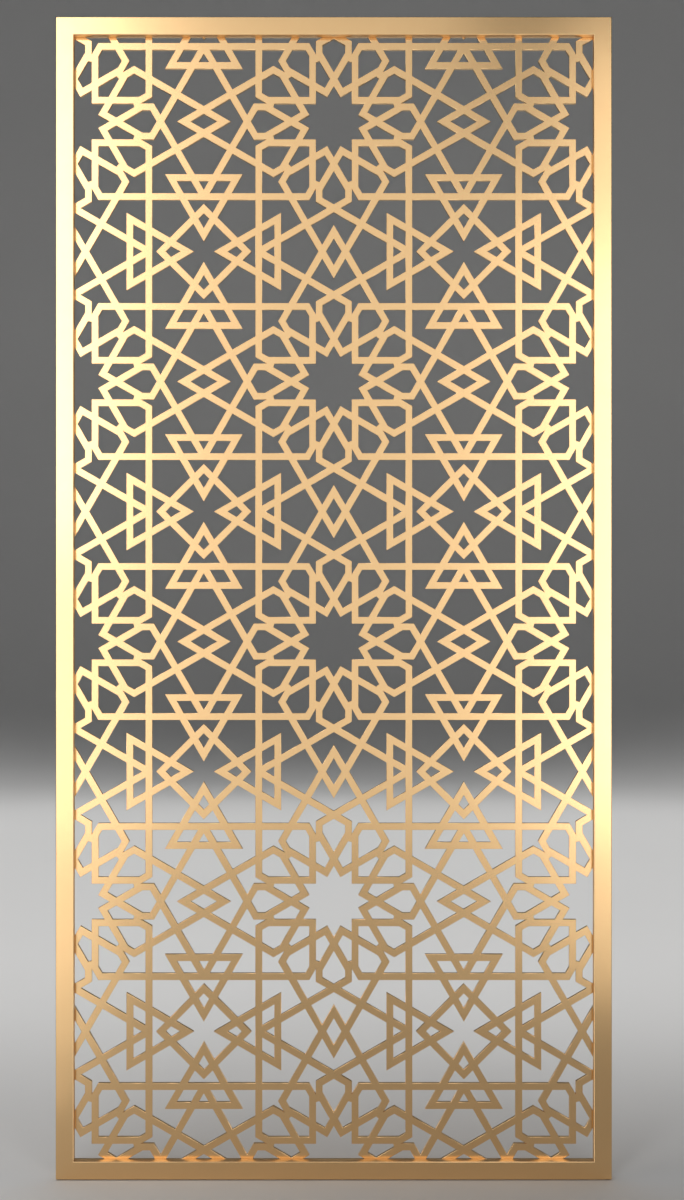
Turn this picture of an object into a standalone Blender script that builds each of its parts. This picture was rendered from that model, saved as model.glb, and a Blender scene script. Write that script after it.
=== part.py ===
"""Mashrabiya screen: a cut metal lattice of twelve-pointed stars, held in a bar frame.

Metres, +Z up, front towards -Y. The back of the frame lies in the plane y = 0. The
origin is on that back, in the middle of the top rail, both along it and across its land.
"""
import math

import bmesh
import bpy
import numpy as np
from mathutils import Matrix, Vector
from mathutils.geometry import delaunay_2d_cdt

# Star pattern, measured along the centrelines of its strips
PITCH = 0.470              # from one star to the next, across and down
COLUMNS = 2                # pitches across the opening
ROWS = 4                   # pitches down the opening from the top row of stars
STRIP_WIDTH = 0.0124
STAR_LINE = 0.0384         # from a star's centre square to the strips that bound the star
THROAT_LAP = 0.0005        # how far neighbouring petals run into each other where they touch
WEB_DEPTH = 0.0133         # metal left between two petals, from their throat inwards
ARROW_HEIGHT = 0.1035      # each triangle, from its base to its point
ARROW_GAP = 0.0302         # from a triangle's point to the corner of the star's square
DIAMOND_REACH = 0.0776     # from the corner of the star's square to a point of the diamond

# Lattice plate
LATTICE_THICKNESS = 0.008
SIDE_LAP = 0.002           # pattern hidden behind each side rail
END_LAP = 0.005            # pattern hidden behind the top and the bottom rail
BORDER_SETBACK = 0.001     # from the edge of the opening back to the plate's plain border

# The plate is one sheet, but it is modelled in two halves that part on a row of stars
PARTING_ROW = 2
PARTING_GAP = 0.0003

# Frame
RAIL_FACE = 0.032
FRAME_DEPTH = 0.030
LATTICE_RECESS = 0.016     # from the front of the rails back to the front of the lattice
REBATE_WIDTH = 0.012
EDGE_GAP = 0.0005          # from the lattice's edge to the side of the rebate
SEAT_GAP = 0.0003          # from the lattice's front to the back of the frame's lip
ARRIS_RADIUS = 0.0025
ARRIS_STEPS = 3

# What follows from the sizes above
ROOT_2 = math.sqrt(2)
ROOT_3 = math.sqrt(3)
HALF_PITCH = PITCH / 2
PETAL_TIP = PITCH / 3
RHOMBUS_TIP = PITCH / ROOT_3
PETAL_HALF_WIDTH = STAR_LINE - STRIP_WIDTH + THROAT_LAP
THROAT_RADIUS = (STAR_LINE - (STRIP_WIDTH - THROAT_LAP) / 2) / math.sin(math.radians(15))
QUARTER_TURNS = (0, 90, 180, 270)
PETAL_TURNS = (0, 30, 60)

OPENING_WIDTH = COLUMNS * PITCH - 2 * SIDE_LAP
OPENING_HEIGHT = ROWS * PITCH + PETAL_TIP - 2 * END_LAP
BORDER_WIDTH = REBATE_WIDTH - EDGE_GAP
BACK_LAND = RAIL_FACE - REBATE_WIDTH
FRAME_TOP = BACK_LAND / 2
OPENING_TOP = FRAME_TOP - RAIL_FACE
OPENING_BOTTOM = OPENING_TOP - OPENING_HEIGHT
TOP_STAR_HEIGHT = OPENING_TOP + END_LAP - PETAL_TIP
LATTICE_FRONT = LATTICE_RECESS - FRAME_DEPTH
MERGE_DISTANCE = 1e-5
STRAIGHT = 1e-3            # sine of the least bend that counts as a corner


def clear_scene():
    for item in list(bpy.data.objects):
        bpy.data.objects.remove(item, do_unlink=True)


def new_collection(name):
    collection = bpy.data.collections.new(name)
    bpy.context.scene.collection.children.link(collection)
    return collection


def satin_gold(name, colour, roughness):
    material = bpy.data.materials.new(name)
    material.use_nodes = True
    shader = material.node_tree.nodes["Principled BSDF"]
    shader.inputs["Base Color"].default_value = (*colour, 1.0)
    shader.inputs["Metallic"].default_value = 1.0
    shader.inputs["Roughness"].default_value = roughness
    return material


# Points in a star's own square, with the star at its centre

def turned(point, degrees):
    return Matrix.Rotation(math.radians(degrees), 2) @ Vector(point)


def all_turned(path, degrees):
    return [turned(point, degrees) for point in path]


def across_axis(path):
    return [Vector((point.x, -point.y)) for point in path]


def across_diagonal(path):
    return [point.yx for point in path]


def petal_side():
    """Upper long side of the petal on the +X axis, from the star outwards."""
    inner = Vector((2 * STAR_LINE + PETAL_HALF_WIDTH * ROOT_3, PETAL_HALF_WIDTH))
    outer = Vector((PETAL_TIP - PETAL_HALF_WIDTH / ROOT_3, PETAL_HALF_WIDTH))
    if outer.x > inner.x:
        return [inner, outer]
    meeting = (3 * PETAL_TIP + 2 * STAR_LINE) / 4
    return [Vector((meeting, (PETAL_TIP - meeting) * ROOT_3))]


def star_and_rhombus():
    """From the square's side round one petal, the star and the next petal to a rhombus, and back."""
    rhombus_tip = Vector((RHOMBUS_TIP, 0))
    upper_petal = all_turned(petal_side(), 30)
    star_corner = turned((STAR_LINE * ROOT_2, 0), 15)
    lower_petal = across_axis(petal_side())
    square_side = Vector((HALF_PITCH, (HALF_PITCH - PETAL_TIP) * ROOT_3))
    half = [rhombus_tip] + upper_petal[::-1] + [star_corner] + lower_petal + [square_side]
    return across_axis(half[:0:-1]) + half


def long_strip():
    """A straight strip that turns in to a petal and the star, and out along the other way."""
    square_side = Vector((PITCH / (2 * ROOT_3), HALF_PITCH))
    petal = all_turned(across_axis(petal_side()), 30)
    star_corner = turned((STAR_LINE * ROOT_2, 0), 45)
    half = [square_side] + petal[::-1]
    return half + [star_corner] + across_diagonal(half[::-1])


def web():
    """Short bar across the throat between the petals on the +X axis and next to it."""
    middle = THROAT_RADIUS - WEB_DEPTH / 2
    return all_turned([(middle, -STRIP_WIDTH / 2), (middle, STRIP_WIDTH / 2)], 15)


def arrow():
    """Triangle at the square's top right corner, pointing at it along the right side."""
    point = HALF_PITCH - ARROW_GAP
    base = point - ARROW_HEIGHT
    half_base = ARROW_HEIGHT / ROOT_3
    return [Vector((HALF_PITCH - half_base, base)), Vector((HALF_PITCH, point)),
            Vector((HALF_PITCH + half_base, base))]


def diamond():
    """Square that stands on its point, round the top right corner of the star's square."""
    corner = Vector((HALF_PITCH, HALF_PITCH))
    return [corner + turned((DIAMOND_REACH, 0), quarter) for quarter in QUARTER_TURNS]


# Strips of metal along the centrelines

def strip_pieces(path, width, closed=False):
    """A rectangle along each stretch of the path, and a mitre on the outer side of each bend."""
    stretches = list(zip(path, path[1:] + path[:1] if closed else path[1:]))
    steps = [(end - start).orthogonal().normalized() * width / 2 for start, end in stretches]
    pieces = []
    for (start, end), step in zip(stretches, steps):
        pieces.append([start + step, start - step, end - step, end + step])
    bends = zip(steps[-1:] + steps[:-1], steps, path) if closed else zip(steps, steps[1:], path[1:])
    for before, after, point in bends:
        outward = -math.copysign(1, before.cross(after))
        mitre = (before + after) / (1 + before.normalized().dot(after.normalized()))
        pieces.append([point] + [point + outward * step for step in (before, mitre, after)])
    return pieces


def square_pieces():
    """All the strip pieces that one star's square adds to the pattern."""
    pieces = []
    for quarter in QUARTER_TURNS:
        for path in (star_and_rhombus(), long_strip()):
            pieces += strip_pieces(all_turned(path, quarter), STRIP_WIDTH)
        for turn in PETAL_TURNS:
            pieces += strip_pieces(all_turned(web(), quarter + turn), WEB_DEPTH)
    upright = arrow()
    level = across_diagonal(upright)
    left_level = [Vector((-point.x, point.y)) for point in level]
    for path in (upright, across_axis(upright), level, left_level, diamond()):
        pieces += strip_pieces(path, STRIP_WIDTH, closed=True)
    return pieces


def pattern_pieces():
    """The strip pieces of every square that reaches the lattice, in the screen's own x and z."""
    pieces = []
    one_square = square_pieces()
    for column in range(-1, COLUMNS + 2):
        for row in range(-1, ROWS + 2):
            star = Vector(((column - COLUMNS / 2) * PITCH, TOP_STAR_HEIGHT - row * PITCH))
            pieces += [[star + point for point in piece] for piece in one_square]
    return pieces


# Outline of the metal

def rectangle(half_width, bottom, top):
    corners = ((-half_width, bottom), (half_width, bottom), (half_width, top), (-half_width, top))
    return [Vector(corner) for corner in corners]


def sides_of(polygon):
    return zip(polygon, polygon[1:] + polygon[:1])


def reaches(piece, plate):
    xs, zs = zip(*piece)
    return (max(xs) > plate[0].x and min(xs) < plate[2].x
            and max(zs) > plate[0].y and min(zs) < plate[2].y)


def inside(points, polygon):
    """Which of the points, an array, lie within a convex polygon that runs either way round."""
    xs, zs = points.T
    turns = [(end.x - start.x) * (zs - start.y) - (end.y - start.y) * (xs - start.x)
             for start, end in sides_of(polygon)]
    return np.all(np.greater(turns, 0), axis=0) | np.all(np.less(turns, 0), axis=0)


def merged_outlines(strips, plate, window):
    """Closed outlines of the plate's metal: the strips, and all that lies outside the window."""
    strips = [strip for strip in strips if reaches(strip, plate)]
    points = []
    edges = []
    for polygon in [plate, window] + strips:
        first = len(points)
        points += polygon
        edges += [(first + i, first + (i + 1) % len(polygon)) for i in range(len(polygon))]
    points, _, triangles, *_ = delaunay_2d_cdt(points, edges, [], 0, MERGE_DISTANCE)
    places = np.array([point[:] for point in points])
    centres = places[np.array(triangles)].mean(axis=1)
    metal = ~inside(centres, window)
    for strip in strips:
        metal |= inside(centres, strip)
    metal &= inside(centres, plate)
    sides = set()
    for index in np.flatnonzero(metal):
        sides |= set(sides_of(triangles[index]))
    following = {start: end for start, end in sides if (end, start) not in sides}
    outlines = []
    while following:
        start, end = following.popitem()
        outline = [start]
        while end != start:
            outline.append(end)
            end = following.pop(end)
        outlines.append(corners_only([points[index] for index in outline]))
    return [outline for outline in outlines if len(outline) > 2]


def corners_only(outline):
    """The outline without doubled points and without points on a straight side."""
    apart = [point for before, point in sides_of(outline) if (point - before).length > MERGE_DISTANCE]
    corners = []
    for before, point, after in zip(apart[-1:] + apart[:-1], apart, apart[1:] + apart[:1]):
        bend = (point - before).normalized().cross((after - point).normalized())
        if abs(bend) > STRAIGHT:
            corners.append(point)
    return corners if len(corners) == len(outline) else corners_only(corners)


def flat_plate(name, outlines, thickness, front, material, collection):
    """A plate that stands upright, cut to the outlines in x and z, with its front at y = front."""
    curve = bpy.data.curves.new(name, "CURVE")
    curve.dimensions = "2D"
    curve.fill_mode = "BOTH"
    curve.extrude = thickness / 2
    for outline in outlines:
        spline = curve.splines.new("POLY")
        spline.points.add(len(outline) - 1)
        for target, point in zip(spline.points, outline):
            target.co = (point.x, point.y, 0, 1)
        spline.use_cyclic_u = True
    curve.materials.append(material)
    plate = bpy.data.objects.new(name, curve)
    plate.location = (0, front + thickness / 2, 0)
    plate.rotation_euler = (math.radians(90), 0, 0)
    collection.objects.link(plate)
    return plate


def lattice_half(name, bottom, top, strips, material, collection):
    plate = rectangle(OPENING_WIDTH / 2 + BORDER_WIDTH, bottom, top)
    window = rectangle(OPENING_WIDTH / 2 + BORDER_SETBACK,
                       OPENING_BOTTOM - BORDER_SETBACK, OPENING_TOP + BORDER_SETBACK)
    outlines = merged_outlines(strips, plate, window)
    return flat_plate(name, outlines, LATTICE_THICKNESS, LATTICE_FRONT, material, collection)


# Frame

def rail_section():
    """Corners of a rail's section, as distance in from the frame's outer edge and y."""
    rounding = []
    for centre_in, first in ((ARRIS_RADIUS, 180), (RAIL_FACE - ARRIS_RADIUS, 270)):
        for step in range(ARRIS_STEPS + 1):
            angle = math.radians(first + 90 * step / ARRIS_STEPS)
            rounding.append((centre_in + ARRIS_RADIUS * math.cos(angle),
                             ARRIS_RADIUS - FRAME_DEPTH + ARRIS_RADIUS * math.sin(angle)))
    lip_back = LATTICE_FRONT - SEAT_GAP
    rebate = [(RAIL_FACE, lip_back), (BACK_LAND, lip_back), (BACK_LAND, 0)]
    return [(0, 0)] + rounding + rebate


def set_corner(corner, inward, y):
    """Move one of a ring's four corners in from the frame's outer edge, on its own side."""
    middle = (FRAME_TOP + OPENING_BOTTOM - RAIL_FACE) / 2
    half_width = OPENING_WIDTH / 2 + RAIL_FACE - inward
    half_height = OPENING_HEIGHT / 2 + RAIL_FACE - inward
    corner.co = (math.copysign(half_width, corner.co.x), y,
                 middle + math.copysign(half_height, corner.co.z - middle))


def frame(name, material, collection):
    """The section carried round the opening, with square mitred corners."""
    section = rail_section()
    shape = bmesh.new()
    outer = rectangle(OPENING_WIDTH / 2 + RAIL_FACE, OPENING_BOTTOM - RAIL_FACE, FRAME_TOP)
    corners = [shape.verts.new((x, section[0][1], z)) for x, z in outer]
    ring = [shape.edges.new((corners[i - 1], corners[i])) for i in range(4)]
    for inward, y in section[1:] + section[:1]:
        drawn = bmesh.ops.extrude_edge_only(shape, edges=ring)["geom"]
        corners = [part for part in drawn if isinstance(part, bmesh.types.BMVert)]
        ring = [part for part in drawn if isinstance(part, bmesh.types.BMEdge)]
        for corner in corners:
            set_corner(corner, inward, y)
    bmesh.ops.remove_doubles(shape, verts=shape.verts, dist=MERGE_DISTANCE)
    bmesh.ops.recalc_face_normals(shape, faces=shape.faces)
    mesh = bpy.data.meshes.new(name)
    shape.to_mesh(mesh)
    shape.free()
    mesh.materials.append(material)
    rails = bpy.data.objects.new(name, mesh)
    collection.objects.link(rails)
    return rails


def build():
    clear_scene()
    screen = new_collection("mashrabiya_screen")
    frame_gold = satin_gold("frame_gold", (0.80, 0.55, 0.28), 0.30)
    lattice_gold = satin_gold("lattice_gold", (0.76, 0.53, 0.28), 0.36)
    frame("frame", frame_gold, screen)
    strips = pattern_pieces()
    parting = TOP_STAR_HEIGHT - PARTING_ROW * PITCH
    lattice_half("lattice_upper", parting + PARTING_GAP / 2, OPENING_TOP + BORDER_WIDTH,
                 strips, lattice_gold, screen)
    lattice_half("lattice_lower", OPENING_BOTTOM - BORDER_WIDTH, parting - PARTING_GAP / 2,
                 strips, lattice_gold, screen)


build()
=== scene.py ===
"""Looks of the mashrabiya screen: a satin gold lattice in a satin gold frame, in a pale studio.

Metres, +Z up, front towards -Y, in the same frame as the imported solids.
"""
import math

import bmesh
import bpy
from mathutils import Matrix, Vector


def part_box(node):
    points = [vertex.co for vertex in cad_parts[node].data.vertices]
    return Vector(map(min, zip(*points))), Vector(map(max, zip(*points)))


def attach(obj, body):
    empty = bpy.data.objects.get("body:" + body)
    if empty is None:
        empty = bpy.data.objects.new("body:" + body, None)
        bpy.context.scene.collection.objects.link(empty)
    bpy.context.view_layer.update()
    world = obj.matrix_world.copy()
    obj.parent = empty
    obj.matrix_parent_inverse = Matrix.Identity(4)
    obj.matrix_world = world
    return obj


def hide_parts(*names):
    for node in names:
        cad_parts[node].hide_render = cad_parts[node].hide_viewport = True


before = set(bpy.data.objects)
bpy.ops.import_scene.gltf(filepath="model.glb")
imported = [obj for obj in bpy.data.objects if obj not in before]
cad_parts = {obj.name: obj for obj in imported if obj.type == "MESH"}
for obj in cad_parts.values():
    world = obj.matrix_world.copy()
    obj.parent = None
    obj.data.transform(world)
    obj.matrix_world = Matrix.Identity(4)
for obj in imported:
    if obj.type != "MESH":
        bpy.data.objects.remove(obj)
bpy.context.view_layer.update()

# Frame section, as on the solid that the piece replaces
RAIL_FACE = 0.032
REBATE_WIDTH = 0.012
LIP_DEPTH = 0.0157         # from the rails' front to the back of the lip
ARRIS_RADIUS = 0.0012
ARRIS_SEGMENTS = 4
BACK_EASING = 0.0006       # small rounding of every other edge of the frame

# Lattice plate
EDGE_EASING = 0.0004       # small rounding of the edges that the cutter left
EASING_SEGMENTS = 2
PARTING_REACH = 0.0002     # half the gap between the plate's two solids, and a little more
MERGE_DISTANCE = 1e-5
CORNER = math.radians(12)  # a bend that counts as an edge

# Finish
GOLD = (0.90, 0.600, 0.300, 1)
DEEP_GOLD = (0.88, 0.570, 0.278, 1)
RUBBED_GOLD = (0.92, 0.635, 0.335, 1)
RAIL_ROUGHNESS = 0.20
LATTICE_ROUGHNESS = 0.22
INNER_ROUGHNESS = 0.28     # what the rails' inner sides have more than their fronts
RUBBED_POLISH = 0.06       # what rubbed edges have less
GRAIN_DEPTH = 0.00003
GRAIN_STRENGTH = 0.35

# Camera, from the photograph
CAMERA_DISTANCE = 2.996    # before the front of the rails
CAMERA_RIGHT = 0.0148
CAMERA_DROP = 0.0033       # below the middle of the frame
CAMERA_LENS = 50

# Studio
FLOOR_GAP = 0.002
COVE_RADIUS = 9.0
COVE_BEND = 3.0
COVE_HEIGHT = 7.0
COVE_STEPS = 96
COVE_BEND_STEPS = 12
COVE_COLOUR = (0.78, 0.775, 0.765)
ROOM_COLOUR = (0.95, 0.97, 1.0, 1)
ROOM_STRENGTH = 0.10

# Softboxes that face the screen from behind the camera: name, middle and width, then bottom and top
# from the height of the eye, and watts a square metre
FRONT_SOFTBOXES = (
    ("left_softbox", -1.32, 0.90, -0.98, 0.20, 7.0),
    ("left_high_softbox", -1.32, 0.90, 0.20, 2.50, 10.5),
    ("left_inner_softbox", -0.70, 0.30, -0.95, 2.50, 3.3),
    ("middle_softbox", 0.00, 1.10, -0.95, 2.50, 2.4),
    ("right_inner_softbox", 0.70, 0.30, -0.95, 1.50, 3.6),
    ("right_softbox", 1.32, 0.90, -0.95, 1.30, 8.6),
    ("right_high_softbox", 1.32, 0.90, 1.30, 2.20, 4.8),
)
FRONT_SOFTBOXES_Y = -3.4

# Softboxes that lie on the floor and face up: name, place, width, depth, and watts a square metre
LOW_SOFTBOXES = (
    ("low_left_softbox", (-0.78, -0.63), 0.46, 0.45, 0.7),
    ("low_middle_left_softbox", (-0.84, -1.13), 0.54, 0.55, 1.6),
    ("low_far_left_softbox", (-0.95, -1.85), 0.60, 0.90, 2.6),
    ("low_farthest_left_softbox", (-1.25, -2.70), 0.90, 0.80, 3.7),
    ("low_right_softbox", (0.86, -1.90), 0.44, 1.10, 1.6),
    ("low_far_right_softbox", (1.05, -2.80), 0.60, 0.70, 3.3),
)
LOW_SOFTBOX_RISE = 0.012   # over the frame's foot

# Softboxes overhead: name, place and target with heights over the frame's foot, then width, depth,
# watts, and the angle through which the light spreads
WIDE = math.radians(180)
NARROW = math.radians(60)
OVERHEAD_SOFTBOXES = (
    ("top_softbox", (0, 1.5, 5.04), (0, 0, 1.04), 4.0, 4.0, 8, WIDE),
    ("floor_softbox", (0, 3.3, 2.64), (0, 3.3, 0), 6.0, 5.6, 62, NARROW),
    ("foot_softbox", (-0.95, -0.5, 0.9), (-0.95, -0.5, 0), 0.5, 0.5, 2.8, WIDE),
)


def eye_height():
    low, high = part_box("frame")
    return (low.z + high.z) / 2 - CAMERA_DROP


# Materials

class Value:
    """A number in a node material, on which sums are written as on any number."""

    def __init__(self, finish, socket):
        self.finish = finish
        self.socket = socket

    def sum_with(self, operation, first, second):
        node = self.finish.node("ShaderNodeMath", {"operation": operation}, {0: first, 1: second})
        return Value(self.finish, node.outputs[0])

    def __add__(self, other):
        return self.sum_with("ADD", self, other)

    def __radd__(self, other):
        return self.sum_with("ADD", other, self)

    def __sub__(self, other):
        return self.sum_with("SUBTRACT", self, other)

    def __rsub__(self, other):
        return self.sum_with("SUBTRACT", other, self)

    def __mul__(self, other):
        return self.sum_with("MULTIPLY", self, other)

    def __rmul__(self, other):
        return self.sum_with("MULTIPLY", other, self)


class Finish:
    """A node material on a Principled shader."""

    def __init__(self, name):
        self.material = bpy.data.materials.new(name)
        self.material.use_nodes = True
        self.tree = self.material.node_tree
        self.shader = self.tree.nodes["Principled BSDF"]
        self.place = self.node("ShaderNodeTexCoord").outputs["Object"]

    def node(self, kind, settings=None, sockets=None):
        """A new node: its settings first, then the values or links of its sockets."""
        node = self.tree.nodes.new(kind)
        for name, value in (settings or {}).items():
            setattr(node, name, value)
        self.fill(node, sockets or {})
        return node

    def fill(self, node, sockets):
        for name, value in sockets.items():
            if isinstance(value, Value):
                value = value.socket
            if isinstance(value, bpy.types.NodeSocket):
                self.tree.links.new(value, node.inputs[name])
            else:
                node.inputs[name].default_value = value

    def noise(self, scale, detail=2.0):
        """Soft noise from 0 to 1."""
        node = self.node("ShaderNodeTexNoise", {"noise_dimensions": "3D"},
                         {"Vector": self.place, "Scale": scale, "Detail": detail})
        return Value(self, node.outputs[0])

    def attribute(self, name):
        """What the faces are marked with under a name."""
        node = self.node("ShaderNodeAttribute", {"attribute_name": name})
        return Value(self, node.outputs["Fac"])

    def mixed(self, factor, first, second):
        """Colour between two colours."""
        node = self.node("ShaderNodeMix", {"data_type": "RGBA"}, {0: factor, 6: first, 7: second})
        return node.outputs[2]

    def bumped(self, height, distance, strength):
        """Normal of a surface that a height raises by up to a distance."""
        node = self.node("ShaderNodeBump", {},
                         {"Height": height, "Distance": distance, "Strength": strength})
        return node.outputs[0]

    def surface(self, sockets):
        self.fill(self.shader, sockets)
        return self.material


def satin_gold(name, roughness):
    """Gold-toned metal with a fine satin grain, rubbed a little brighter along its edges."""
    finish = Finish(name)
    clouds = finish.noise(2.6, detail=3.0)
    patches = finish.noise(38)
    grain = finish.noise(1400, detail=1.0)
    rubbed = finish.attribute("rubbed")
    inner = finish.attribute("inner")
    tone = finish.mixed(clouds * 0.6 + patches * 0.2, GOLD, DEEP_GOLD)
    colour = finish.mixed(rubbed * 0.5, tone, RUBBED_GOLD)
    rough = roughness + (clouds - 0.5) * 0.05 + (patches - 0.5) * 0.03 + (grain - 0.5) * 0.06
    return finish.surface({
        "Base Color": colour,
        "Metallic": 1.0,
        "Roughness": rough - rubbed * RUBBED_POLISH + inner * INNER_ROUGHNESS,
        "Normal": finish.bumped(grain, GRAIN_DEPTH, GRAIN_STRENGTH),
    })


def matte_pale(name, colour):
    """Plain pale studio surface with a faint unevenness."""
    finish = Finish(name)
    unevenness = finish.noise(1.5)
    darker = tuple(channel * 0.97 for channel in colour)
    return finish.surface({
        "Base Color": finish.mixed(unevenness, (*colour, 1), (*darker, 1)),
        "Roughness": 0.9,
        "Specular IOR Level": 0.2,
    })


# Making pieces

def new_piece(name, shape, material):
    """An object in the scene from a finished shape."""
    mesh = bpy.data.meshes.new(name)
    shape.to_mesh(mesh)
    shape.free()
    mesh.materials.append(material)
    piece = bpy.data.objects.new(name, mesh)
    bpy.context.scene.collection.objects.link(piece)
    return piece


def ease(shape, edges, radius, segments, rubbed):
    """Round the edges off, mark the new faces as rubbed, and shade them round."""
    made = bmesh.ops.bevel(shape, geom=edges, affect="EDGES", offset=radius, offset_type="OFFSET",
                           segments=segments, profile=0.5, material=-1, clamp_overlap=False)
    for face in made["faces"]:
        face[rubbed] = 1.0
        face.smooth = True


def mark_of_rubbing(shape):
    return shape.faces.layers.float.new("rubbed")


def sharp_edges(shape):
    return [edge for edge in shape.edges if edge.calc_face_angle(0) > CORNER]


# Frame

def rail_frame():
    """The rail's section at one corner, spun into a square ring and drawn out to the screen's height.

    Gives the shape, its mark of rubbing, the front arrises and the other edges.
    """
    low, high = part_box("frame")
    middle = (low + high) / 2
    half_width = (high.x - low.x) / 2
    lip_back = low.y + LIP_DEPTH
    rebate_side = RAIL_FACE - REBATE_WIDTH
    section = ((0, high.y), (0, low.y), (RAIL_FACE, low.y), (RAIL_FACE, lip_back),
               (rebate_side, lip_back), (rebate_side, high.y))
    shape = bmesh.new()
    corners = [shape.verts.new((half_width - inward, y, half_width - inward))
               for inward, y in section]
    outline = [shape.edges.new((corners[i - 1], corners[i])) for i in range(len(corners))]
    bmesh.ops.spin(shape, geom=corners + outline, cent=(0, 0, 0), axis=(0, 1, 0),
                   angle=math.tau, steps=4, use_merge=True)
    bmesh.ops.remove_doubles(shape, verts=shape.verts, dist=MERGE_DISTANCE)
    drawn_out = (high.z - low.z) / 2 - half_width
    for side in (-1, 1):
        half = [corner for corner in shape.verts if corner.co.z * side > 0]
        bmesh.ops.translate(shape, verts=half, vec=(middle.x, 0, middle.z + side * drawn_out))
    bmesh.ops.recalc_face_normals(shape, faces=shape.faces)
    rubbed = mark_of_rubbing(shape)
    inner = shape.faces.layers.float.new("inner")
    for face in shape.faces:
        towards_middle = middle - face.calc_center_median()
        is_side = abs(face.normal.y) < 0.5
        if is_side and face.normal.dot(towards_middle) > 0:
            face[inner] = 1.0
    arrises = []
    others = []
    for edge in sharp_edges(shape):
        if all(corner.co.y < low.y + MERGE_DISTANCE for corner in edge.verts):
            arrises.append(edge)
        else:
            others.append(edge)
    return shape, rubbed, arrises, others


def make_frame():
    shape, rubbed, arrises, others = rail_frame()
    ease(shape, arrises, ARRIS_RADIUS, ARRIS_SEGMENTS, rubbed)
    others = [edge for edge in others if edge.is_valid]
    ease(shape, others, BACK_EASING, EASING_SEGMENTS, rubbed)
    piece = new_piece("rail_frame", shape, satin_gold("satin_gold_rails", RAIL_ROUGHNESS))
    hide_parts("frame")
    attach(piece, "root")


# Lattice

def whole_plate():
    """The plate's two solids, merged and closed where they part."""
    halves = ("lattice_upper", "lattice_lower")
    shape = bmesh.new()
    for node in halves:
        shape.from_mesh(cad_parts[node].data)
    bmesh.ops.remove_doubles(shape, verts=shape.verts, dist=MERGE_DISTANCE)
    parting = (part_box("lattice_upper")[0].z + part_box("lattice_lower")[1].z) / 2

    def at_parting(corner):
        return abs(corner.co.z - parting) < PARTING_REACH

    cut = [face for face in shape.faces if all(at_parting(corner) for corner in face.verts)]
    bmesh.ops.delete(shape, geom=cut, context="FACES")
    seam = [corner for corner in shape.verts if at_parting(corner)]
    for corner in seam:
        corner.co.z = parting
    bmesh.ops.remove_doubles(shape, verts=seam, dist=MERGE_DISTANCE)
    return shape


def fill_anew(shape, depth, outward):
    """Replace the flat face at a depth by one filled between the outlines of its holes."""
    def on_face(corner):
        return abs(corner.co.y - depth) < MERGE_DISTANCE

    flat = [face for face in shape.faces if all(on_face(corner) for corner in face.verts)]
    bmesh.ops.delete(shape, geom=flat, context="FACES")
    outlines = [edge for edge in shape.edges if edge.is_boundary]
    bmesh.ops.triangle_fill(shape, edges=outlines, use_beauty=True, normal=outward)


def make_lattice():
    shape = whole_plate()
    rubbed = mark_of_rubbing(shape)
    low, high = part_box("lattice_upper")
    ease(shape, sharp_edges(shape), EDGE_EASING, EASING_SEGMENTS, rubbed)
    fill_anew(shape, low.y, (0, -1, 0))
    fill_anew(shape, high.y, (0, 1, 0))
    bmesh.ops.recalc_face_normals(shape, faces=shape.faces)
    piece = new_piece("lattice", shape, satin_gold("satin_gold_lattice", LATTICE_ROUGHNESS))
    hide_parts("lattice_upper", "lattice_lower")
    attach(piece, "root")


# Studio

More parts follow.
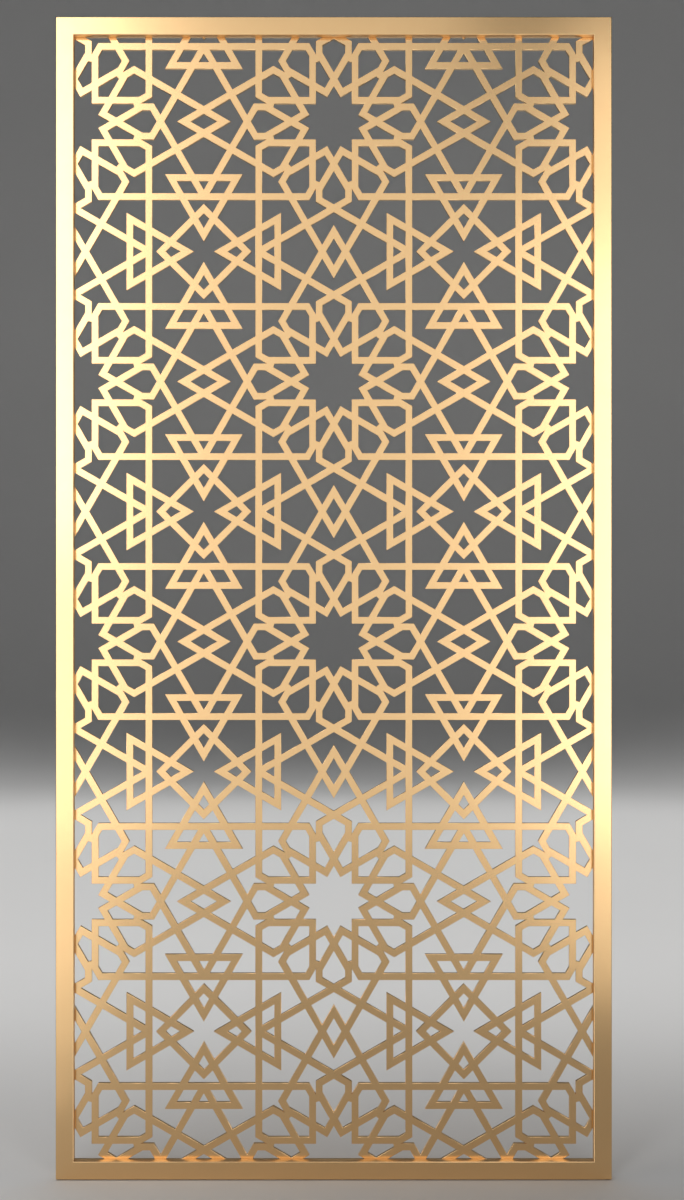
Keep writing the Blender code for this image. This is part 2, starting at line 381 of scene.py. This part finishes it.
def make_cove():
    """Floor that bends up into a wall all round."""
    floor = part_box("frame")[0].z - FLOOR_GAP
    shape = bmesh.new()
    path = [Vector((0, 0, floor)), Vector((COVE_RADIUS - COVE_BEND, 0, floor))]
    for step in range(1, COVE_BEND_STEPS + 1):
        angle = math.radians(90) * step / COVE_BEND_STEPS
        path.append(Vector((COVE_RADIUS - COVE_BEND + COVE_BEND * math.sin(angle), 0,
                            floor + COVE_BEND * (1 - math.cos(angle)))))
    path.append(Vector((COVE_RADIUS, 0, floor + COVE_HEIGHT)))
    corners = [shape.verts.new(point) for point in path]
    line = [shape.edges.new(pair) for pair in zip(corners, corners[1:])]
    bmesh.ops.spin(shape, geom=corners + line, cent=(0, 0, 0), axis=(0, 0, 1),
                   angle=math.tau, steps=COVE_STEPS, use_merge=True)
    bmesh.ops.remove_doubles(shape, verts=shape.verts, dist=MERGE_DISTANCE)
    bmesh.ops.recalc_face_normals(shape, faces=shape.faces)
    for face in shape.faces:
        face.smooth = True
    cove = new_piece("cove", shape, matte_pale("pale_cove", COVE_COLOUR))


def softbox(name, place, target, width, height, power, spread=WIDE):
    """Rectangular soft light at a place, turned to a target and out of the camera's sight."""
    light = bpy.data.lights.new(name, "AREA")
    light.shape = "RECTANGLE"
    light.size = width
    light.size_y = height
    light.energy = power
    light.spread = spread
    lamp = bpy.data.objects.new(name, light)
    lamp.location = place
    lamp.rotation_euler = (Vector(target) - Vector(place)).to_track_quat("-Z", "Y").to_euler()
    lamp.visible_camera = False
    bpy.context.scene.collection.objects.link(lamp)


def make_lights():
    eye = eye_height()
    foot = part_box("frame")[0].z
    for name, middle, width, bottom, top, watts in FRONT_SOFTBOXES:
        height = eye + (bottom + top) / 2
        softbox(name, (middle, FRONT_SOFTBOXES_Y, height), (middle, 0, height),
                width, top - bottom, watts * width * (top - bottom))
    for name, place, width, depth, watts in LOW_SOFTBOXES:
        softbox(name, (*place, foot + LOW_SOFTBOX_RISE), (*place, eye), width, depth,
                watts * width * depth)
    rise = Vector((0, 0, foot))
    for name, place, target, width, depth, watts, spread in OVERHEAD_SOFTBOXES:
        softbox(name, Vector(place) + rise, Vector(target) + rise, width, depth, watts, spread)


def make_room():
    """Even faint light from all round."""
    world = bpy.data.worlds.new("pale_room")
    world.use_nodes = True
    background = world.node_tree.nodes["Background"]
    background.inputs["Color"].default_value = ROOM_COLOUR
    background.inputs["Strength"].default_value = ROOM_STRENGTH
    bpy.context.scene.world = world


def make_camera():
    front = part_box("frame")[0].y
    camera = bpy.data.objects.new("camera", bpy.data.cameras.new("camera"))
    camera.data.lens = CAMERA_LENS
    camera.location = (CAMERA_RIGHT, front - CAMERA_DISTANCE, eye_height())
    camera.rotation_euler = (math.radians(90), 0, 0)
    bpy.context.scene.collection.objects.link(camera)
    bpy.context.scene.camera = camera


make_camera()
make_frame()
make_lattice()
make_cove()
make_lights()
make_room()
bpy.context.scene.view_settings.view_transform = "Standard"
